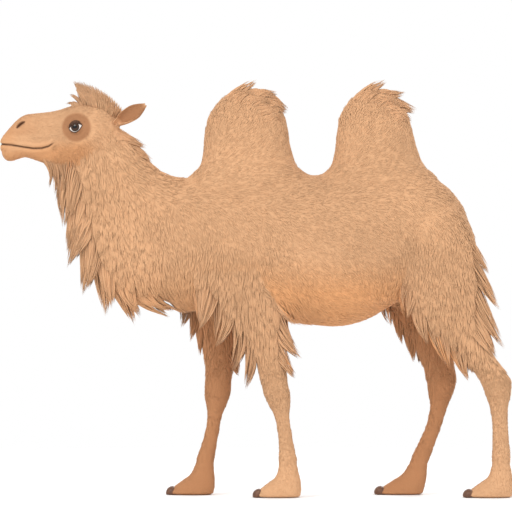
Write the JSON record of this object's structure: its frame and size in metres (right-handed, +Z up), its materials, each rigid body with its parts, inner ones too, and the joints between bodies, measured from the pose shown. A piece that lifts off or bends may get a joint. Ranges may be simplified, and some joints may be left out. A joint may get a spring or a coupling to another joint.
{
  "type": "bactrian camel",
  "caption": "Life-size still figure of a shaggy two-humped camel in mid stride, standing on its own feet.",
  "frame": {"origin": "on the floor, under the middle of the bounding box", "axes": "+X towards the tail, -X towards the muzzle, -Y the animal's left side, +Z up"},
  "size_m": [2.7701, 0.67, 2.2451],
  "materials": {
    "coat": "woolly, matte",
    "horn": "satin horn",
    "eye": "wet gloss"
  },
  "bodies": {
    "root": {"head": "coat", "lower_jaw": "coat", "head_crest": "coat", "neck": "coat", "trunk": "coat", "hump_front": "coat", "hump_rear": "coat", "tail": "coat", "ear_left": "coat", "ear_right": "coat", "foreleg_left_upper": "coat", "foreleg_left_lower": "coat", "foreleg_left_foot": "coat", "foreleg_right_upper": "coat", "foreleg_right_lower": "coat", "foreleg_right_foot": "coat", "hindleg_left_upper": "coat", "hindleg_left_lower": "coat", "hindleg_left_foot": "coat", "hindleg_right_upper": "coat", "hindleg_right_lower": "coat", "hindleg_right_foot": "coat", "foreleg_left_nail_inner": "horn", "foreleg_left_nail_outer": "horn", "foreleg_right_nail_inner": "horn", "foreleg_right_nail_outer": "horn", "hindleg_left_nail_inner": "horn", "hindleg_left_nail_outer": "horn", "hindleg_right_nail_inner": "horn", "hindleg_right_nail_outer": "horn", "eye_left": "eye", "eye_right": "eye"}
  },
  "joints": []
}
